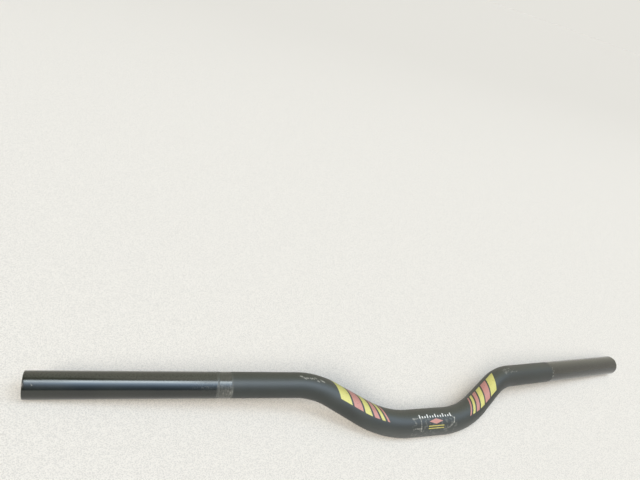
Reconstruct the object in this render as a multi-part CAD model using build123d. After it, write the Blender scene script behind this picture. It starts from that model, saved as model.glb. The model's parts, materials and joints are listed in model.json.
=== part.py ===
from build123d import *

import os
from math import acos, atan2, cos, degrees, hypot, radians, sin, tan

# Riser handlebar: one aluminium tube with a thicker, wider middle, bent in four places and open at both tips.
# It is drawn as it is ridden, about the clamp's centre: X across the bicycle, Y towards the rider, Z up.
# Then it is laid on its back, with the clamp and both tips on the floor.

# Shape of the centreline, in millimetres and degrees
bar_width = 685.0          # between the centres of the two tips
rise = 40.0                # from the clamp's centre up to the corners of the upper bends
riser_angle = 32.0         # slope of the risers away from the clamp
riser_lean = 6.0           # how far the risers lean back towards the rider
up_sweep = 4.0             # slope of the grips, seen from the front
back_sweep = 9.0           # slope of the grips, seen from above
clamp_length = 40.0        # straight run that the stem holds
lower_bend_radius = 90.0
upper_bend_radius = 70.0

# Tube sections, in millimetres
clamp_diameter = 25.4
grip_diameter = 22.2
clamp_wall = 2.5
grip_wall = 2.0
tip_round = 0.5            # outer edge of each cut end


def right_corners():
    """The lower corner, the upper corner and the tip of the right half's centreline."""
    slope = radians(riser_angle)
    lean = radians(riser_lean)
    lower = Vector(clamp_length / 2 + lower_bend_radius * tan(slope / 2), 0, 0)
    riser_run = rise / (tan(slope) * cos(lean))
    upper = lower + Vector(riser_run, rise * tan(lean), rise)
    grip_run = bar_width / 2 - upper.X
    tip = upper + Vector(1, tan(radians(back_sweep)), tan(radians(up_sweep))) * grip_run
    return [lower, upper, tip]


def make_centreline(corners):
    """Straight runs and tangent arcs, in order from the left tip to the right tip."""
    left_corners = [Vector(-corner.X, corner.Y, corner.Z) for corner in reversed(corners)]
    bends = [upper_bend_radius, lower_bend_radius, lower_bend_radius, upper_bend_radius]
    path = FilletPolyline(*left_corners, *corners, radius=bends)
    return path.edges().sort_by(Axis.X)


def sweep_run(edge, start_radius, end_radius):
    """A round bar along one run of the centreline, from one radius to the other.

    The seam of a bend lies on its rear side and the seam of a straight run on its front side,
    so that no two runs meet with their seams a hair apart.
    """
    rear = Vector(0, cos(radians(riser_lean)), -sin(radians(riser_lean)))
    seam = rear if edge.geom_type == GeomType.CIRCLE else -rear
    start = Plane(edge @ 0, x_dir=seam, z_dir=edge % 0) * Circle(start_radius)
    end = Plane(edge @ 1, x_dir=seam, z_dir=edge % 1) * Circle(end_radius)
    return sweep([start, end], path=edge, multisection=True)


def sweep_bar(centreline, clamp_radius, grip_radius):
    """A round bar along the whole centreline, which narrows evenly over the lower bends and the risers."""
    lower_bend, riser = centreline[5:7]
    bend_share = lower_bend.length / (lower_bend.length + riser.length)
    riser_foot_radius = clamp_radius + bend_share * (grip_radius - clamp_radius)
    half = [clamp_radius, riser_foot_radius, grip_radius, grip_radius, grip_radius]
    radii = half[::-1] + half
    runs = [sweep_run(*run) for run in zip(centreline, radii, radii[1:])]
    return runs[0].fuse(*runs[1:])


def rest_turn(tip):
    """Turn about X, in degrees, that brings the clamp's underside and both tips down to one level."""
    tip_height = (grip_diameter - clamp_diameter) / 2
    return degrees(atan2(tip.Y, tip.Z) - acos(tip_height / hypot(tip.Y, tip.Z)))


def make_handlebar():
    """The bent tube with its tapered bore and rounded tips, lying at rest."""
    corners = right_corners()
    centreline = make_centreline(corners)
    outside = sweep_bar(centreline, clamp_diameter / 2, grip_diameter / 2)
    bore = sweep_bar(centreline, clamp_diameter / 2 - clamp_wall, grip_diameter / 2 - grip_wall)
    tube = outside - bore
    tip_faces = tube.faces().filter_by(GeomType.PLANE)
    tube = fillet([face.outer_wire().edge() for face in tip_faces], tip_round)
    return Rot(X=rest_turn(corners[-1])) * tube


os.makedirs("parts", exist_ok=True)
export_step(make_handlebar(), "parts/handlebar.step")
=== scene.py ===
# %% [markdown]
# A riser handlebar is one aluminium tube: wide where the stem holds it, narrow at the grips, bent four
# times. The packed model has its exact size and place. It could be dressed as it is, but prints and wear
# need a map that runs along the bends and round the tube. So the tube is worked out again here, to the
# same sizes and with such a map, and it replaces the packed one. Everything below is in metres, in the
# packed frame: X along the bar, Z up from the floor that it lies on.

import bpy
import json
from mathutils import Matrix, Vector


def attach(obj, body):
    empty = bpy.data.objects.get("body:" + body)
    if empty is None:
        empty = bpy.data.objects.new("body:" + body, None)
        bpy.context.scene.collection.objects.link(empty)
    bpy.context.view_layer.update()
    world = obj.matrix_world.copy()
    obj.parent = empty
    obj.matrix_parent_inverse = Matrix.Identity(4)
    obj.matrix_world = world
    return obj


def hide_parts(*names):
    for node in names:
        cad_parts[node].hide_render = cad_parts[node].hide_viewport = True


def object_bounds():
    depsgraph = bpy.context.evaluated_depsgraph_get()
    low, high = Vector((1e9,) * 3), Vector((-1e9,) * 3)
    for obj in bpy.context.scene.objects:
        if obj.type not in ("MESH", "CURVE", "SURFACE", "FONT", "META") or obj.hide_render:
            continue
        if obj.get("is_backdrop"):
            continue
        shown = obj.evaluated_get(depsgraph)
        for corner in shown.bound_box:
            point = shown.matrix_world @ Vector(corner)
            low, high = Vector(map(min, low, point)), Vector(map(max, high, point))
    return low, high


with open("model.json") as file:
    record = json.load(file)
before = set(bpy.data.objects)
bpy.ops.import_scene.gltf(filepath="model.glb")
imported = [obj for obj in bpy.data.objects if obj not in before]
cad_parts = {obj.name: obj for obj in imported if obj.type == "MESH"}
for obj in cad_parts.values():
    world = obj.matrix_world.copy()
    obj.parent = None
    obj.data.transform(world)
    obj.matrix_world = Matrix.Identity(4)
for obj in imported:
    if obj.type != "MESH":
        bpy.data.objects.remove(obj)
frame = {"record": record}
cad_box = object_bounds()
print("CAD box:", [[round(x, 4) for x in corner] for corner in cad_box])

# %% [markdown]
# A bent tube is easiest to think of as a line with a thickness. These are the sizes that a bar maker
# would write on a drawing. Where another part fits on the bar, the size is read from the packed record's
# mounts, so that the two can't drift apart. The line is drawn as the bar is ridden, and then turned so
# that the bar lies on its back.

# %% Sizes of the bar
from math import acos, atan2, cos, hypot, radians, sin, tan

import numpy as np

MM = 0.001
mount_sizes = {mount["name"]: mount["dims"] for mount in frame["record"]["mounts"]}
clamp_radius = mount_sizes["stem_clamp"]["r_mm"] * MM
clamp_length = mount_sizes["stem_clamp"]["length_mm"] * MM
grip_radius = mount_sizes["left_grip"]["r_mm"] * MM
grip_bore_radius = mount_sizes["left_end_bore"]["r_mm"] * MM
clamp_bore_radius = 10.2 * MM
tip_round = 0.5 * MM
bar_width = 685 * MM
rise = 40 * MM
riser_angle = radians(32)
riser_lean = radians(6)
up_sweep = radians(4)
back_sweep = radians(9)
lower_bend_radius = 90 * MM
upper_bend_radius = 70 * MM


def right_corners():
    """Middle, lower corner, upper corner and tip of the right half's centre line, at rest on the floor.

    The turn about X brings the undersides of the clamp and of the tip down to one level.
    """
    lower = np.array([clamp_length / 2 + lower_bend_radius * tan(riser_angle / 2), 0, 0])
    riser = np.array([rise / (tan(riser_angle) * cos(riser_lean)), rise * tan(riser_lean), rise])
    upper = lower + riser
    tip = upper + np.array([1, tan(back_sweep), tan(up_sweep)]) * (bar_width / 2 - upper[0])
    turn = atan2(tip[1], tip[2]) - acos((grip_radius - clamp_radius) / hypot(tip[1], tip[2]))
    lay_down = np.array([[1, 0, 0], [0, cos(turn), -sin(turn)], [0, sin(turn), cos(turn)]])
    return np.array([np.zeros(3), lower, upper, tip]) @ lay_down.T


corners = right_corners()
print("tip of the right grip:", corners[-1].round(4))

# %% [markdown]
# A tube bender leaves straight runs joined by round bends. A Blender curve with a bevel could follow that
# line, but its handles only come near to a true arc. So each run is kept as numbers here: how long it is,
# which way it starts, and for a bend the radius and the side that it turns to.

# %% Straight runs and bends
def unit(vector):
    """The same direction at length 1."""
    return vector / np.linalg.norm(vector)


def half_runs():
    """Runs of the right half from the middle to the tip: (length, start direction, inward side, bend radius).

    A straight run has radius 0. A bend of radius R that turns by an angle A is R A long, and it takes
    R tan(A / 2) off the straight runs on both sides of its corner.
    """
    steps = np.diff(corners, axis=0)
    headings = [unit(step) for step in steps]
    bends = []
    taken_off = [0]
    for before, after, radius in zip(headings, headings[1:], (lower_bend_radius, upper_bend_radius)):
        angle = acos(before @ after)
        inward = unit(after - before * (before @ after))
        bends.append((radius * angle, before, inward, radius))
        taken_off.append(radius * tan(angle / 2))
    taken_off.append(0)
    runs = []
    for i, heading in enumerate(headings):
        straight = np.linalg.norm(steps[i]) - taken_off[i] - taken_off[i + 1]
        runs.append((straight, heading, np.zeros(3), 0))
        runs.extend(bends[i:i + 1])
    return runs


runs = half_runs()
run_starts = np.concatenate([[0], np.cumsum([run[0] for run in runs])])
half_length = run_starts[-1]
taper_end = run_starts[3]       # where the riser ends and the upper bend begins


def centre_line(along):
    """Centre points and directions at these lengths along the bar, counted from its middle.

    A straight run moves its length along its direction d. A bend of radius R moves
    R sin(w) d + R (1 - cos(w)) n and turns the direction by (cos(w) - 1) d + sin(w) n,
    where w is its length over R and n its inward side. Each run counts up to where it ends,
    so the sums give the place, and the left half is the right one mirrored.
    """
    place = np.zeros((len(along), 3))
    heading = np.tile([1.0, 0.0, 0.0], (len(along), 1))
    for start, (length, direction, inward, radius) in zip(run_starts, runs):
        done = np.clip(np.abs(along) - start, 0, length)[:, None]
        if radius == 0:
            place += done * direction
        else:
            w = done / radius
            place += radius * (np.sin(w) * direction + (1 - np.cos(w)) * inward)
            heading += (np.cos(w) - 1) * direction + np.sin(w) * inward
    side = np.where(along < 0, -1.0, 1.0)
    place[:, 0] *= side
    heading[:, 1:] *= side[:, None]
    return place, heading


print("runs of one half, mm:", [round(run[0] / MM, 1) for run in runs])
print("half length, mm:", round(half_length / MM, 1))

# %% [markdown]
# The real tube has a wall, rounded cut edges and an open bore that tapers with the outside. A Solidify
# modifier would give it one even wall and sharp ends. Here all of it is one closed outline, drawn as
# pairs of length along the bar and radius, which is carried once round the centre line. The grid closes
# both ways, so there are no poles and no open seams.

# %% Outline of the wall
outside_stations = 381
bore_stations = 181
edge_stations = 6


def taper(along, clamp_size, grip_size):
    """Clamp size on the straight middle, grip size past the risers, and an even change between."""
    return np.interp(np.abs(along), [clamp_length / 2, taper_end], [clamp_size, grip_size])


def wall_outline():
    """Length and radius of each station, and which stations lie in the bore.

    Outside from left to right, a quarter round of the tip's edge, the cut face, the bore from right to left,
    and the left tip's face and edge back to the start.
    """
    outside = np.linspace(tip_round - half_length, half_length - tip_round, outside_stations)
    bore = np.linspace(half_length, -half_length, bore_stations)
    turn = np.linspace(0, np.pi / 2, edge_stations + 1)[1:]
    edge_along = half_length - tip_round * (1 - np.sin(turn))
    edge_radius = grip_radius - tip_round * (1 - np.cos(turn))
    along = np.concatenate([outside, edge_along, bore, -edge_along[::-1]])
    radius = np.concatenate([
        taper(outside, clamp_radius, grip_radius),
        edge_radius,
        taper(bore, clamp_bore_radius, grip_bore_radius),
        edge_radius[::-1],
    ])
    first = outside_stations + edge_stations
    station = np.arange(len(along))
    return along, radius, (station >= first) & (station < first + bore_stations - 1)


station_along, station_radius, in_bore = wall_outline()
print("stations:", len(station_along), "of them in the bore:", int(in_bore.sum()))

# %% [markdown]
# Each station becomes a ring. Its zero angle points as nearly straight up as the tube allows, and the
# angle grows towards the front, so "30 degrees down the front" means the same all along the bar. The same
# two numbers, length and angle, are kept as a UV map called bar_map, on which scuffs and prints are
# placed later. Blender's own unwrap would give a map too, but not one that can be read in millimetres.

# %% Tube surface
import bpy

ring_points = 96
sharp_edge = radians(40)


def tube_grid(along, radius):
    """Points of the tube, one ring for each station.

    P = c(s) + r (cos(a) u + sin(a) f), with c the centre line, u up square to it,
    and f = direction x u the front.
    """
    centre, heading = centre_line(along)
    up = np.array([0.0, 0.0, 1.0]) - heading[:, 2:] * heading
    up /= np.linalg.norm(up, axis=1, keepdims=True)
    front = np.cross(heading, up)
    angle = np.linspace(-np.pi, np.pi, ring_points, endpoint=False)[None, :, None]
    ring = np.cos(angle) * up[:, None] + np.sin(angle) * front[:, None]
    return centre[:, None] + radius[:, None, None] * ring


def closed_quads(rows, columns):
    """Corner indices of a grid that closes both ways, in the order that faces outwards."""
    row, column = np.meshgrid(np.arange(rows), np.arange(columns), indexing="ij")
    next_row, next_column = (row + 1) % rows, (column + 1) % columns
    corners_of = [(row, column), (row, next_column), (next_row, next_column), (next_row, column)]
    return np.stack([r * columns + c for r, c in corners_of], axis=-1).reshape(-1, 4)


def tube_map(along):
    """UV of each quad's corners: length along the bar, and angle times the grip's radius, both in metres."""
    rows = len(along)
    row, column = np.meshgrid(np.arange(rows), np.arange(ring_points), indexing="ij")
    around = (np.arange(ring_points + 1) / ring_points * 2 - 1) * np.pi * grip_radius
    steps = [(0, 0), (0, 1), (1, 1), (1, 0)]
    places = [np.stack([along[(row + r) % rows], around[column + c]], axis=-1) for r, c in steps]
    return np.stack(places, axis=2).astype(np.float32)


def make_tube():
    """The tube as a mesh object: material 0 outside and on the cut ends, material 1 in the bore."""
    points = tube_grid(station_along, station_radius).reshape(-1, 3)
    mesh = bpy.data.meshes.new("handlebar_tube")
    mesh.from_pydata(points, [], closed_quads(len(station_along), ring_points))
    mesh.uv_layers.new(name="bar_map").data.foreach_set("uv", tube_map(station_along).ravel())
    mesh.polygons.foreach_set("material_index", np.repeat(in_bore, ring_points).astype(np.int32))
    mesh.shade_smooth()
    mesh.set_sharp_from_angle(angle=sharp_edge)
    tube = bpy.data.objects.new("handlebar_tube", mesh)
    bpy.context.scene.collection.objects.link(tube)
    return tube


tube = make_tube()
print("tube:", len(tube.data.vertices), "points,", 2 * len(tube.data.polygons), "triangles")

# %% [markdown]
# The finish is built from shader nodes. They could be placed and wired by hand, but a mask of ten nodes
# is hard to read that way. A small class stands for one number that changes over the surface, so that a
# mask is written as a sum. Every operation adds one plain node, which can be looked at in the shader
# editor afterwards.

# %% Writing nodes as sums
MIX_A, MIX_B, MIX_RESULT = 6, 7, 2      # the colour sockets of a Mix node


def add_node(tree, kind, **settings):
    """A new node of this kind with these properties."""
    node = tree.nodes.new(kind)
    for name, value in settings.items():
        setattr(node, name, value)
    return node


def plug(value, entry):
    """Links a channel to an input socket, or writes a plain value on it."""
    if isinstance(value, Channel):
        entry.id_data.links.new(value.socket, entry)
    else:
        entry.default_value = value


class Channel:
    """A number or a colour over the surface, which is the output socket of some node."""

    def __init__(self, socket):
        self.socket = socket
        self.tree = socket.id_data

    def math(self, operation, *others):
        """The result of one Math node on this channel and the others."""
        node = add_node(self.tree, "ShaderNodeMath", operation=operation)
        for entry, value in zip(node.inputs, (self, *others)):
            plug(value, entry)
        return Channel(node.outputs[0])

    def __add__(self, other):
        return self.math("ADD", other)

    def __sub__(self, other):
        return self.math("SUBTRACT", other)

    def __mul__(self, other):
        return self.math("MULTIPLY", other)

    def __truediv__(self, other):
        return self.math("DIVIDE", other)

    def size(self):
        """This channel without its sign."""
        return self.math("ABSOLUTE")

    def ramp(self, zero, one):
        """0 at the first value and 1 at the second, with a smooth step between them."""
        node = add_node(self.tree, "ShaderNodeMapRange", interpolation_type="SMOOTHSTEP")
        for title, value in (("Value", self), ("From Min", zero), ("From Max", one)):
            plug(value, node.inputs[title])
        return Channel(node.outputs["Result"])

    def between(self, low, high, soft):
        """1 from low to high, with soft edges."""
        return self.ramp(low - soft, low + soft) * self.ramp(high + soft, high - soft)

    def blend(self, below, above):
        """The first number where this mask is 0, and the second where it is 1."""
        node = add_node(self.tree, "ShaderNodeMapRange")
        for title, value in (("Value", self), ("To Min", below), ("To Max", above)):
            plug(value, node.inputs[title])
        return Channel(node.outputs["Result"])

    def colours(self, below, above):
        """The first colour where this mask is 0, and the second where it is 1."""
        node = add_node(self.tree, "ShaderNodeMix", data_type="RGBA")
        plug(self, node.inputs[0])
        for index, value in ((MIX_A, below), (MIX_B, above)):
            plug(value if isinstance(value, Channel) else (*value, 1), node.inputs[index])
        return Channel(node.outputs[MIX_RESULT])


print("a channel can:", [name for name in vars(Channel) if not name.startswith("_")])

# %% [markdown]
# Three more helpers complete the toolbox: cloudy noise in real scale, node groups with named sockets, and
# new materials. An image of a surface could stand in for the noise, but it blurs close up and its edges
# show. Noise from the shader stays sharp at any distance, and on the piece's own coordinates it never
# slides.

# %% Noise, groups and materials
def noise(tree, scale, detail=2, stretch=None, uv_map=None):
    """Cloudy noise in metres: on Object coordinates, or on a UV map, stretched by a factor for each axis."""
    if uv_map:
        place = add_node(tree, "ShaderNodeUVMap", uv_map=uv_map).outputs["UV"]
    else:
        place = tree.nodes.new("ShaderNodeTexCoord").outputs["Object"]
    if stretch:
        mapping = tree.nodes.new("ShaderNodeMapping")
        mapping.inputs["Scale"].default_value = stretch
        tree.links.new(place, mapping.inputs["Vector"])
        place = mapping.outputs["Vector"]
    texture = tree.nodes.new("ShaderNodeTexNoise")
    tree.links.new(place, texture.inputs["Vector"])
    plug(scale, texture.inputs["Scale"])
    plug(detail, texture.inputs["Detail"])
    return Channel(texture.outputs[0])


def new_group(name, inputs, outputs):
    """An empty shader node group with these number sockets: its tree, its inputs and its output sockets."""
    tree = bpy.data.node_groups.new(name, "ShaderNodeTree")
    for title in inputs:
        tree.interface.new_socket(title, in_out="INPUT", socket_type="NodeSocketFloat")
    for title in outputs:
        tree.interface.new_socket(title, in_out="OUTPUT", socket_type="NodeSocketFloat")
    entry = tree.nodes.new("NodeGroupInput")
    leave = tree.nodes.new("NodeGroupOutput")
    return tree, [Channel(entry.outputs[title]) for title in inputs], leave.inputs


def place_group(tree, group, **values):
    """The group as one node of a material, with these values on its inputs: its outputs as channels."""
    node = add_node(tree, "ShaderNodeGroup", node_tree=group)
    for title, value in values.items():
        plug(value, node.inputs[title])
    return [Channel(socket) for socket in node.outputs]


def new_material(name):
    """A material with its node tree and its Principled shader."""
    material = bpy.data.materials.new(name)
    material.use_nodes = True
    return material, material.node_tree, material.node_tree.nodes["Principled BSDF"]


def describe(group):
    """Prints how many nodes a group has, and its sockets."""
    sockets = [socket.name for socket in group.interface.items_tree]
    print("group", group.name, "has", len(group.nodes), "nodes and the sockets", sockets)


print("node groups so far:", len(bpy.data.node_groups))

# %% [markdown]
# Anodising grows a hard, clear oxide on the aluminium, which is then dyed black. It follows the blasted
# metal below, so the surface is never quite even: slow patches in the dye, and a grain so fine that it
# only softens the shine. Each material could have its own noise, but the outside and the bore went
# through the same bath, so they share a group.

# %% Group: grain of the oxide
patches_per_metre = 38
grains_per_metre = 2400

grain, (patchy,), grain_out = new_group("oxide_grain", ["patchy"], ["tone", "height"])
plug((noise(grain, patches_per_metre, detail=3) - 0.5) * patchy + 1, grain_out["tone"])
plug(noise(grain, grains_per_metre), grain_out["height"])
describe(grain)

# %% [markdown]
# Rubbed metal shows as small broken flecks rather than an even grey. Scattered dots would look like
# spray. Noise that is cut off at a limit gives ragged flecks: a low limit covers more of the surface, and
# a high one leaves a few specks. The painted reflection on top of the bar and worn ink are made by the same
# group.

# %% Group: pale flecks
fleck_edge = 0.06

flecks, (per_metre, limit), flecks_out = new_group("pale_flecks", ["per_metre", "limit"], ["mask"])
plug(noise(flecks, per_metre, detail=3).ramp(limit, limit + fleck_edge), flecks_out["mask"])
describe(flecks)

# %% [markdown]
# A scratch is a short line on the unrolled surface. It could be cut into the mesh, but it is narrower
# than a face and has no depth to speak of: it only bares the metal. So it is a mask that is 1 near the
# segment's nearest point. With p from the first end and d the segment, that point is at t = p.d / d.d,
# kept between 0 and 1.

# %% Group: one scratch
scratch_core = 0.3              # share of the width that is bare all over
breaks_per_metre = 700
break_limits = (0.3, 0.6)

scratch, scratch_in, scratch_out = new_group(
    "scratch_line",
    ["along", "around", "from_along", "from_around", "to_along", "to_around", "width"],
    ["mask"],
)


def segment_mask(along, around, from_along, from_around, to_along, to_around, width):
    """1 on the segment and 0 at its width's distance, broken up by noise as a real scratch is."""
    p_along, p_around = along - from_along, around - from_around
    d_along, d_around = to_along - from_along, to_around - from_around
    share = (p_along * d_along + p_around * d_around) / (d_along * d_along + d_around * d_around)
    share = share.math("MAXIMUM", 0).math("MINIMUM", 1)
    off_along, off_around = p_along - d_along * share, p_around - d_around * share
    distance = (off_along * off_along + off_around * off_around).math("SQRT")
    unbroken = noise(width.tree, breaks_per_metre, detail=3).ramp(*break_limits)
    return distance.ramp(width, width * scratch_core) * unbroken


plug(segment_mask(*scratch_in), scratch_out["mask"])
describe(scratch)

# %% [markdown]
# The prints on the risers are slanted bars. They could be strips of mesh laid on the tube, but ink has no
# thickness. On the unrolled surface a slanted bar is a straight band in along + slant x around, cut off
# at a lower and an upper edge, so one small group can draw them all.

# %% Group: one slanted bar
print_edge = 0.12 * MM

bar_group, bar_in, bar_out = new_group(
    "slanted_bar", ["along", "around", "start", "end", "low", "high", "slant"], ["mask"]
)


def slanted_mask(along, around, start, end, low, high, slant):
    """1 where along + slant x around lies from start to end and around from low to high."""
    return (along + around * slant).between(start, end, print_edge) * around.between(low, high, print_edge)


plug(slanted_mask(*bar_in), bar_out["mask"])
describe(bar_group)

# %% [markdown]
# The middle of the bar is satin. Grips covered both ends, and sliding them on and off polished the oxide
# there. A lever's clamp polished a ring on the left too, with a haze beside it. Two materials could meet
# at the border, but one mask, called gloss, lets the grain and the wear run across it as they do on the
# real bar.

# %% Satin middle and polished grip zones
finish, tree, shader = new_material("black_anodised")
bar_uv = tree.nodes.new("ShaderNodeSeparateXYZ")
tree.links.new(add_node(tree, "ShaderNodeUVMap", uv_map="bar_map").outputs["UV"], bar_uv.inputs[0])
along = Channel(bar_uv.outputs["X"])
around = Channel(bar_uv.outputs["Y"])

grip_zone_start = 207 * MM
grip_zone_edge = 0.7 * MM
ring_start, ring_end = -208 * MM, -194 * MM
ring_edge = 0.5 * MM
ring_start_rim = 2.2 * MM
ring_end_rim = 1.5 * MM
ring_gloss_share = 0.85
haze_far = 26 * MM
haze_near = 4 * MM
haze_share = 0.25

grip_zone = along.size().ramp(grip_zone_start - grip_zone_edge, grip_zone_start + grip_zone_edge)
ring_gloss = along.between(ring_start + ring_start_rim, ring_end - ring_end_rim, ring_edge)
left_side = along.ramp(0, -MM)
haze = along.ramp(ring_start - haze_far, ring_start - haze_near) * grip_zone * left_side
gloss = grip_zone.math("MAXIMUM", ring_gloss * ring_gloss_share) - haze * haze_share
print("grip zones reach", round((half_length - grip_zone_start) / MM), "mm in from the tips")

# %% [markdown]
# Dyed oxide is never quite black: it has a green cast, and it is paler where the dye took less. One flat
# colour would look like plastic. So two dark tones are mixed by the patches of the grain group, one pair
# for the satin and one for the polished zones, and the polish has fine streaks along the bar, where the
# grips were pulled off.

# %% Dye and shine of the oxide
dye_black = (0.005, 0.0075, 0.0065)
dye_worn = (0.014, 0.019, 0.016)
polished_black = (0.005, 0.006, 0.005)
polished_worn = (0.014, 0.016, 0.012)
outside_patchy = 1.6
satin_roughness = 0.5
grip_roughness = 0.16
patch_roughness = 0.06
streak_roughness = 0.07
streaks_along, streaks_around = 25, 900
streak_limits = (0.42, 0.75)

tone, grain_height = place_group(tree, grain, patchy=outside_patchy)
patch = tone - 0.5              # the even tone, 1, lies halfway between the two dyes
colour = gloss.colours(patch.colours(dye_black, dye_worn), patch.colours(polished_black, polished_worn))
stretch = (streaks_along, streaks_around, 1)
streaks = noise(tree, 1, detail=3, stretch=stretch, uv_map="bar_map").ramp(*streak_limits)
roughness = gloss.blend(satin_roughness, grip_roughness)
roughness = roughness + (tone - 1) * patch_roughness + streaks * grip_zone * streak_roughness
print("roughness:", satin_roughness, "satin,", grip_roughness, "polished")

# %% [markdown]
# The stem rubbed the middle paler. Low on the front it is paler still: there the grey is partly that rub and
# partly a painted reflection of the bright floor. An olive layer on top of the whole bar, broken up like
# dust, is a painted reflection of the wall behind, which lightens the top of the tube. Both could be painted
# on a texture by hand. Here each is a soft band on bar_map, between two lengths or two angles that can be
# read off the real bar, and the top layer is broken up by the flecks group.

# %% Rubbed middle with painted floor reflection, and painted wall reflection on top
# Grey of the rubbed middle, which low on the front also stands in for a painted reflection of the floor.
rubbed_and_reflected_grey = (0.085, 0.09, 0.085)
rubbed_end, rubbed_full = 80 * MM, 35 * MM
rubbed_top_share = 0.06
rubbed_and_reflected_low_share = 0.5
# Olive of a painted reflection of the wall behind, laid on the top of the tube.
top_reflection_olive = (0.17, 0.185, 0.13)
top_reflection_share = 0.16
top_reflection_between_specks = 0.55


def at_angle(degrees_down):
    """Place on bar_map of an angle down the front of the tube."""
    return radians(degrees_down) * grip_radius


# Paler low on the front: partly rubbed dye, partly a painted reflection of the bright floor.
middle = along.size().ramp(rubbed_end, rubbed_full)
low_front = around.ramp(at_angle(45), at_angle(105))
colour = (middle * low_front.blend(rubbed_top_share, rubbed_and_reflected_low_share)).colours(colour, rubbed_and_reflected_grey)
# The olive layer on top is a painted reflection of the wall behind, broken into specks like dust.
on_top = around.between(at_angle(-75), at_angle(22), at_angle(20))
(top_reflection_specks,) = place_group(tree, flecks, per_metre=900, limit=0.4)
colour = (on_top * top_reflection_specks.blend(top_reflection_between_specks, 1) * top_reflection_share).colours(colour, top_reflection_olive)
print("rubbed middle reaches", round(rubbed_end / MM), "mm to each side")

# %% [markdown]
# The prints are yellow and salmon red. On each riser a row of slanted bars gets thinner towards the
# clamp. Decals on thin meshes would stand off the tube at its bends. Drawn on bar_map, each bar wraps
# round the tube at its real size, and the left riser is the right one with its length mirrored.

# %% Bars on the risers
bar_widths = [12 * MM, 9.5 * MM, 7 * MM, 5 * MM, 3.5 * MM, 2 * MM]
bar_gap = 2.2 * MM
bar_slant = 0.9
bars_end = 104 * MM
bar_low, bar_high = at_angle(-36), at_angle(46)


def riser_bars(side):
    """Masks of the yellow and of the salmon bars on one riser, by turns from the upper bend inwards."""
    masks = []
    edge = bars_end
    for width in bar_widths:
        (mask,) = place_group(
            tree, bar_group, along=along * side, around=around, start=edge - width, end=edge,
            low=bar_low, high=bar_high, slant=bar_slant,
        )
        masks.append(mask)
        edge -= width + bar_gap
    return masks[0] + masks[2] + masks[4], masks[1] + masks[3] + masks[5]


yellow_left, salmon_left = riser_bars(-1)
yellow_right, salmon_right = riser_bars(1)
print("riser bars:", 2 * len(bar_widths), "from", round(bars_end / MM), "mm towards the clamp")

# %% [markdown]
# In the middle a row of white ticks helps to centre the bar in its stem, with a lozenge and two gold
# lines below. Ticks could be placed one by one, but a ping-pong of the length repeats one tick along the
# whole row. A lozenge is where two distances, each as a share of its own half size, add up to less than
# one.

# %% Ticks, lozenge and lines on the clamp
clamp_print_centre = 4 * MM
ticks_half_length = 19.5 * MM
tick_pitch = 3 * MM
tick_half_width = 0.55 * MM
tick_foot, short_tick_top, long_tick_top = at_angle(23), at_angle(15), at_angle(8)
lozenge_half_length = 8 * MM
lozenge_half_height = at_angle(11)
lozenge_middle = at_angle(39)
lozenge_edge = (1.04, 0.98)
gold_half_length = 9 * MM
upper_gold_line = (at_angle(56), at_angle(60))
lower_gold_line = (at_angle(66), at_angle(70))

off_centre = along - clamp_print_centre


def tick_row(pitch, top):
    """Ticks at this pitch, from this height down to the common foot."""
    nearest = off_centre.math("PINGPONG", pitch / 2)
    across = nearest.ramp(tick_half_width + print_edge, tick_half_width - print_edge)
    return across * around.between(top, tick_foot, print_edge)


all_ticks = tick_row(tick_pitch, short_tick_top) + tick_row(3 * tick_pitch, long_tick_top)
in_row = off_centre.between(-ticks_half_length, ticks_half_length, print_edge)
ticks = in_row * all_ticks.math("MINIMUM", 1)
length_share = off_centre.size() / lozenge_half_length
height_share = (around - lozenge_middle).size() / lozenge_half_height
lozenge = (length_share + height_share).ramp(*lozenge_edge)
gold_length = off_centre.size().ramp(gold_half_length + print_edge, gold_half_length - print_edge)
gold_lines = around.between(*upper_gold_line, print_edge) + around.between(*lower_gold_line, print_edge)
gold_lines = gold_length * gold_lines
print("ticks every", round(tick_pitch / MM), "mm over", round(2 * ticks_half_length / MM), "mm")

# %% [markdown]
# Printed ink covers the oxide, and use wears it off in specks. A hard mask would look freshly printed. So
# each ink is mixed in by its mask, and by less where the flecks group has worn it.

# %% Ink over the oxide
print_yellow = (0.54, 0.51, 0.155)
print_salmon = (0.45, 0.205, 0.175)
print_white = (0.78, 0.80, 0.78)
print_gold = (0.42, 0.37, 0.09)
worn_ink_share = 0.45

inks = [
    (yellow_left + yellow_right, print_yellow),
    (salmon_left + salmon_right + lozenge, print_salmon),
    (ticks, print_white),
    (gold_lines, print_gold),
]
(ink_wear,) = place_group(tree, flecks, per_metre=900, limit=0.62)
ink_left = ink_wear.blend(1, worn_ink_share)
for mask, ink in inks:
    colour = (mask * ink_left).colours(colour, ink)
print("inks:", len(inks))

# %% [markdown]
# Wear tells how the bar was used. A lever's clamp scuffed a ring on the left, with streaks that run round
# the tube as the clamp was turned, and more of them low on the front and at one rim. Plain noise would
# look like dirt. Noise that is stretched round the tube on bar_map gives the streaks their direction.

# %% Ring of the lever's clamp
ring_streaks_along, ring_streaks_around = 900, 160
ring_streak_limits = (0.42, 0.75)
ring_streak_levels = (0.5, 1.2)
ring_flecks_per_metre = 620
ring_fleck_limits = (0.5, 0.68)
ring_fleck_share = 0.6
ring_high_share, ring_low_share = 0.05, 0.13
rim_width = 3.2 * MM
rim_share = 0.2

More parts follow.
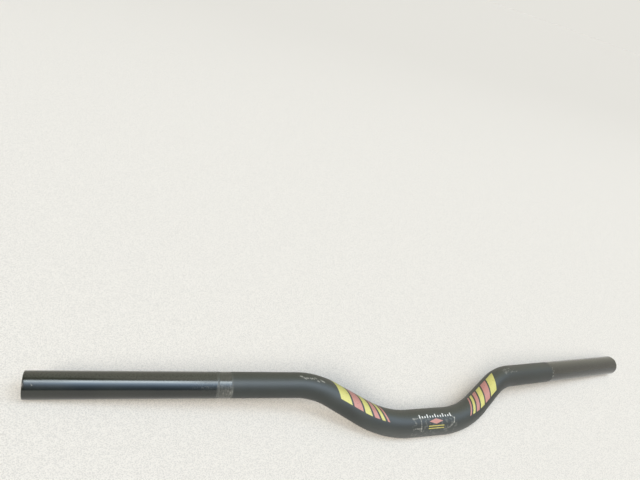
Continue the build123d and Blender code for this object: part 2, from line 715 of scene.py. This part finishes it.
stretch = (ring_streaks_along, ring_streaks_around, 1)
ring_streaks = noise(tree, 1, detail=4, stretch=stretch, uv_map="bar_map").ramp(*ring_streak_limits)
ring_flecks = noise(tree, ring_flecks_per_metre, detail=4).ramp(*ring_fleck_limits)
ring_share = around.ramp(at_angle(30), at_angle(62)).blend(ring_high_share, ring_low_share)
rim = along.between(ring_end - rim_width, ring_end - ring_edge, ring_edge)
rim = rim * around.between(at_angle(72), at_angle(92), at_angle(8))
ring = along.between(ring_start, ring_end, ring_edge)
ring_pattern = ring_streaks.blend(*ring_streak_levels) + ring_flecks * ring_fleck_share
wear = ring * ring_pattern * (ring_share + rim * rim_share)
print("lever ring:", round((ring_end - ring_start) / MM), "mm wide")

# %% [markdown]
# Cables and clamps also rubbed the dye off in flecks: on the right upper bend, beside the ring, at the
# edge of the right grip zone and on the clamp. Wear could be painted on the mesh, but then it is hard to
# shift. Here each place is a soft box on bar_map that is filled with flecks, so a row of the list moves
# it.

# %% Rubbed places
box_edge_along = 1.2 * MM
box_edge_around = at_angle(4)
rub_limit = 0.54
rub_boxes = [                   # from mm, to mm, upper angle, lower angle, strength, flecks per metre
    (121, 140, -14, 26, 0.22, 430),
    (-228, -210, 34, 62, 0.06, 900),
    (207, 210, 20, 95, 0.3, 500),
    (-24, 28, 22, 112, 0.1, 330),
]
for start, end, top, bottom, strength, density in rub_boxes:
    box = along.between(start * MM, end * MM, box_edge_along)
    box = box * around.between(at_angle(top), at_angle(bottom), box_edge_around)
    (mask,) = place_group(tree, flecks, per_metre=density, limit=rub_limit)
    wear = wear + box * mask * strength
print("rubbed places:", len(rub_boxes))

# %% [markdown]
# The edges of a stem's faceplate scratched the clamp, and a cable pecked a row of short marks into the
# left upper bend. Lines drawn at random would look like noise, so each one is given by its two ends, and
# one group draws them all. The worn metal is then mixed over dye and ink alike, and it is rougher than
# the oxide.

# %% Scratches and cable marks
worn_metal = (0.52, 0.51, 0.46)
worn_roughness = 0.25
scratches = [                   # from mm, from angle, to mm, to angle, width mm, strength
    (-22, 24, -20, 40, 1.1, 0.35),
    (-22, 25, -17, 23, 1.0, 0.3),
    (-13.5, 24, -13, 78, 0.7, 0.4),
    (-20, 65, -13, 66, 0.7, 0.35),
    (-15, 22, -9, 22, 0.8, 0.3),
    (21, 15, 26, 32, 0.9, 0.4),
    (26, 32, 25, 50, 0.9, 0.4),
    (25, 50, 20, 68, 0.9, 0.3),
    (20, 68, 15, 76, 0.8, 0.2),
    (-349, 42, -348, 48, 0.5, 0.3),
]
cable_marks = [                 # mm, angle
    (-134.5, 3), (-133, 9), (-131, 14), (-129.5, 10), (-126.5, 10),
    (-124.5, 9), (-122.5, 4), (-120, 16), (-117.5, 8), (-115.5, 10),
]
mark_half_length, mark_slant, mark_width, mark_strength = 0.6, 2, 1.0, 0.5
scratches += [
    (place - mark_half_length, angle, place + mark_half_length, angle + mark_slant, mark_width, mark_strength)
    for place, angle in cable_marks
]
for from_along, from_angle, to_along, to_angle, width, strength in scratches:
    (mask,) = place_group(
        tree, scratch, along=along, around=around,
        from_along=from_along * MM, from_around=at_angle(from_angle),
        to_along=to_along * MM, to_around=at_angle(to_angle), width=width * MM,
    )
    wear = wear + mask * strength
wear = wear.math("MINIMUM", 1)
colour = wear.colours(colour, worn_metal)
roughness = roughness + wear * worn_roughness
print("scratches:", len(scratches), "of them cable marks:", len(cable_marks))

# %% [markdown]
# One Principled shader takes it all. The oxide is clear alumina, a little porous, with a refractive index
# near 1.7, so it mirrors half as much again as plastic. A metallic shader would tint that shine with the
# black below and lose it. The index is a constant, so it is set on the shader itself. The bore had the
# same bath but no polish, and it shares the groups with values of its own.

# %% Shader of the outside and of the bore
oxide_ior = 1.68
grain_depth = 0.02 * MM
grain_strength = 0.35
polished_grain = 0.15           # share of the grain that is left after polishing
bore_patchy = 2.0
bore_dust_share = 0.25
bore_roughness = (0.5, 0.62)


def connect(tree, shader, colour, roughness, height):
    """Feeds a Principled shader with the finish's channels."""
    bump = tree.nodes.new("ShaderNodeBump")
    bump.inputs["Strength"].default_value = grain_strength
    bump.inputs["Distance"].default_value = grain_depth
    plug(height, bump.inputs["Height"])
    plug(Channel(bump.outputs["Normal"]), shader.inputs["Normal"])
    plug(colour, shader.inputs["Base Color"])
    plug(roughness, shader.inputs["Roughness"])
    shader.inputs["IOR"].default_value = oxide_ior


connect(tree, shader, colour, roughness, grain_height * gloss.blend(1, polished_grain))

bore_finish, bore_tree, bore_shader = new_material("black_anodised_bore")
bore_tone, bore_height = place_group(bore_tree, grain, patchy=bore_patchy)
(bore_dust,) = place_group(bore_tree, flecks, per_metre=350, limit=0.58)
bore_dye = (bore_tone - 0.5).colours(dye_black, dye_worn)
bore_colour = (bore_dust * bore_dust_share).colours(bore_dye, worn_metal)
connect(bore_tree, bore_shader, bore_colour, bore_tone.blend(*bore_roughness), bore_height)

tube.data.materials.append(finish)
tube.data.materials.append(bore_finish)
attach(tube, "root")
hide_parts("handlebar")
print("materials:", {slot.name: len(slot.node_tree.nodes) for slot in tube.data.materials}, "nodes")

# %% [markdown]
# The bar lies on pale board. The floor is one large quad at the height of the bar's lowest point. Plain
# white would look like fog, so it has a fine speckle for the contact shadow to fall on. A sheet that
# curves up behind the bar could hide the horizon there. Instead the speckle fades, further and further
# behind the bar, into a tone near the backdrop's.

# %% Floor
floor_half = 30.0
floor_height = cad_box[0].z
floor_pale = (0.88, 0.84, 0.785)
floor_shade = (0.70, 0.67, 0.63)
floor_far = (0.75, 0.715, 0.667)
fade_start, fade_end = 0.4, 2.5
specks_per_metre = 1000
speck_limits = (0.36, 0.7)
board_roughness = 0.9
board_specular = 0.1

floor_mesh = bpy.data.meshes.new("floor")
floor_corners = np.array([[-1, -1], [1, -1], [1, 1], [-1, 1]]) * floor_half
floor_mesh.from_pydata(np.column_stack([floor_corners, np.full(4, floor_height)]), [], [[0, 1, 2, 3]])
floor = bpy.data.objects.new("floor", floor_mesh)
bpy.context.scene.collection.objects.link(floor)

board, board_tree, board_shader = new_material("pale_board")
board_place = board_tree.nodes.new("ShaderNodeSeparateXYZ")
board_tree.links.new(board_tree.nodes.new("ShaderNodeTexCoord").outputs["Object"], board_place.inputs[0])
far = Channel(board_place.outputs["Y"]).ramp(fade_start, fade_end)
speckle = noise(board_tree, specks_per_metre).ramp(*speck_limits).colours(floor_pale, floor_shade)
plug(far.colours(speckle, floor_far), board_shader.inputs["Base Color"])
board_shader.inputs["Roughness"].default_value = board_roughness
board_shader.inputs["Specular IOR Level"].default_value = board_specular
floor_mesh.materials.append(board)
floor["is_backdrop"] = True
print("floor at", round(floor_height / MM, 2), "mm")

# %% [markdown]
# A shiny black tube shows its surroundings more than itself. A few lamps would give it a few hard spots,
# so the light is a whole dome: the world shader gives each direction a level. Two numbers name a
# direction here. One is its share to the right, from -1 to 1. The other is its lift: 0 degrees straight
# in front, 90 overhead, 180 behind.

# %% Light: directions and rays
world = bpy.data.worlds.new("studio")
world.use_nodes = True
bpy.context.scene.world = world
sky = world.node_tree
direction = sky.nodes.new("ShaderNodeSeparateXYZ")
sky.links.new(sky.nodes.new("ShaderNodeTexCoord").outputs["Generated"], direction.inputs[0])
to_right, to_back, to_top = (Channel(socket) for socket in direction.outputs)
lift = to_top.math("ARCTAN2", to_back * -1)

rays = sky.nodes.new("ShaderNodeLightPath").outputs
seen = Channel(rays["Is Camera Ray"]).math("MAXIMUM", Channel(rays["Is Transmission Ray"]))
mirrored = Channel(rays["Is Glossy Ray"])


def lifted(low, high, soft):
    """Mask of the directions between two lifts in degrees, with soft edges."""
    return lift.between(radians(low), radians(high), radians(soft))


print("world:", world.name, "has", len(sky.nodes), "nodes so far")

# %% [markdown]
# Pale cards stand all round, dim at the left, and a black flag in front keeps the bar's face dark. The
# bar mirrors the cards as pale as the backdrop is, but they light the floor much less, or its shadow
# would drown. One more card overhead lightens the top of the tube, and a dark gap to its left keeps the
# top of the left grip black. Planes with their own materials could stand there, but each would throw a
# shadow and have to be kept out of the picture. Below, three numbers of a mask are from, to and softness,
# and two are where a ramp is 0 and where it is 1.

# %% Light: cards, flag and gap
card_level = 0.3
mirrored_back_level = 0.78
mirrored_right_level = 0.9
back_to_right = (0.3, 0.75)
left_share = 0.07
left_to_back = (-0.4, 0.0)
flag_share = 0.03
flag_across = (-0.5, 0.18, 0.1)
flag_top, flag_full = radians(60), radians(25)
gap_share = 0.1
gap_edge, gap_lift = (-0.085, -0.105), (87, 106, 3)
top_card_level = 0.25
top_card_left, top_card_right, top_card_lift = (-0.09, -0.07), (0.5, 0.2), (86, 112, 4)

card_mirrored = to_right.ramp(*back_to_right).blend(mirrored_back_level, mirrored_right_level)
cards = mirrored.blend(card_level, card_mirrored) * to_right.ramp(*left_to_back).blend(left_share, 1)
flag = to_right.between(*flag_across) * lift.ramp(flag_top, flag_full)
gap = lifted(*gap_lift) * to_right.ramp(*gap_edge)
top_card = lifted(*top_card_lift) * to_right.ramp(*top_card_left) * to_right.ramp(*top_card_right)
cards = cards * flag.blend(1, flag_share) * gap.blend(1, gap_share) + top_card * top_card_level
print("cards:", card_level, "on the floor,", mirrored_back_level, "to", mirrored_right_level, "in the bar")

# %% [markdown]
# The key light at the front left gives the floor most of its light and the soft shadow. A soft box hangs
# overhead in front: its far edge is sharp and its near side fades, which draws the bright line along the
# polished grip. A blue wing carries it on to the right, weaker. Box and wing light the floor at half
# their level, so that they don't fill the shadow. Area lamps could do some of this, but a plain one
# doesn't fade from one side to the other.

# %% Light: key, soft box and wing
key_level = 22.5
key_across, key_lift = (-0.78, -0.48, 0.06), (28, 58, 8)
wing_level = 3.8
wing_across, wing_lift = (0.3, 0.68, 0.09), (50, 88, 12)
box_level = 9.0
box_across = (-0.31, 0.08, 0.05)
box_right_across, box_right_share = (0.08, 0.32, 0.05), 0.5
box_far_edge = radians(75.5)
box_slant = -0.6                # radians that the far edge is lifted for a share of 1 to the right
box_sharpness = radians(2.5)
box_depth = radians(13.5)       # full level this far in front of the far edge
box_fade = radians(17)          # and then down to about a third over this angle
diffuse_share = 0.5

lamp_share = mirrored.blend(diffuse_share, 1)
key = to_right.between(*key_across) * lifted(*key_lift) * key_level
past_edge = lift - (to_right * box_slant + box_far_edge)
near_side = ((past_edge + box_depth) / box_fade).math("EXPONENT").math("MINIMUM", 1)
box_face = to_right.between(*box_across) + to_right.between(*box_right_across) * box_right_share
box_face = near_side * past_edge.ramp(box_sharpness, -box_sharpness) * box_face
soft_box = box_face * lamp_share * box_level
wing = to_right.between(*wing_across) * lifted(*wing_lift) * lamp_share * wing_level
print("levels: key", key_level, "soft box", box_level, "wing", wing_level)

# %% [markdown]
# Cards and key are warm, and the soft box is cool, bluer where it fades. A lamp for each would keep its
# own colour. In one dome each direction's tint is mixed from the lights that meet there, by their shares
# of the level. The camera sees a plain backdrop in place of all this, at strength 1, so the background
# never lights the bar.

# %% Light: tint and backdrop
backdrop = (0.787, 0.774, 0.725)
card_warm = (1.0, 0.95, 0.84)
key_warm = (1.0, 0.95, 0.86)
box_white = (0.80, 0.92, 1.0)
box_blue = (0.48, 0.70, 1.0)

level = cards + key + soft_box + wing
tint = (key / level).colours(card_warm, key_warm)
tint = (soft_box / level).colours(tint, (near_side * near_side).colours(box_blue, box_white))
tint = (wing / level).colours(tint, box_blue)
background = sky.nodes["Background"]
plug(seen.colours(tint, backdrop), background.inputs["Color"])
plug(seen.blend(level, 1), background.inputs["Strength"])
print("world nodes:", len(sky.nodes))

# %% [markdown]
# The camera stands close and tilted, as in the photograph: it was found by fitting the bar's outline to
# the picture. It could be turned by hand until it looks right, but a place, a point to look at and a roll
# can be written down and repeated. The lens follows from the focal length in pixels and the width of the
# picture.

# %% Camera
from mathutils import Quaternion, Vector

image_width = 640
focal_pixels = 597.03
camera_place = Vector((-362.96, -308.97, 362.37)) * MM
camera_target = Vector((37.38, 354.60, -12.70)) * MM
camera_roll = radians(19.57)
nearest_seen = 0.01

camera_data = bpy.data.cameras.new("camera")
camera_data.lens = camera_data.sensor_width * focal_pixels / image_width
camera_data.clip_start = nearest_seen
camera = bpy.data.objects.new("camera", camera_data)
bpy.context.scene.collection.objects.link(camera)
camera.location = camera_place
camera.rotation_mode = "QUATERNION"
aim = (camera_target - camera_place).to_track_quat("-Z", "Y")
camera.rotation_quaternion = aim @ Quaternion((0, 0, 1), camera_roll)
bpy.context.scene.camera = camera
bpy.context.scene.view_settings.view_transform = "Standard"
print("lens", round(camera_data.lens, 2), "mm")

# %% [markdown]
# A dressed part has to keep the packed part's size, so the last step prints the visual box and its widest gap
# from the packed box, which was printed at the start. They could be compared by eye in a render, but a tenth
# of a millimetre only shows in numbers.

# %% Sizes and finish
import json

seen_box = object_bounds()
print("visual box:", [[round(x, 4) for x in corner] for corner in seen_box])
widest_gap = np.abs(np.array(seen_box) - np.array(cad_box)).max()
print("widest gap between the boxes, mm:", round(widest_gap / MM, 3))
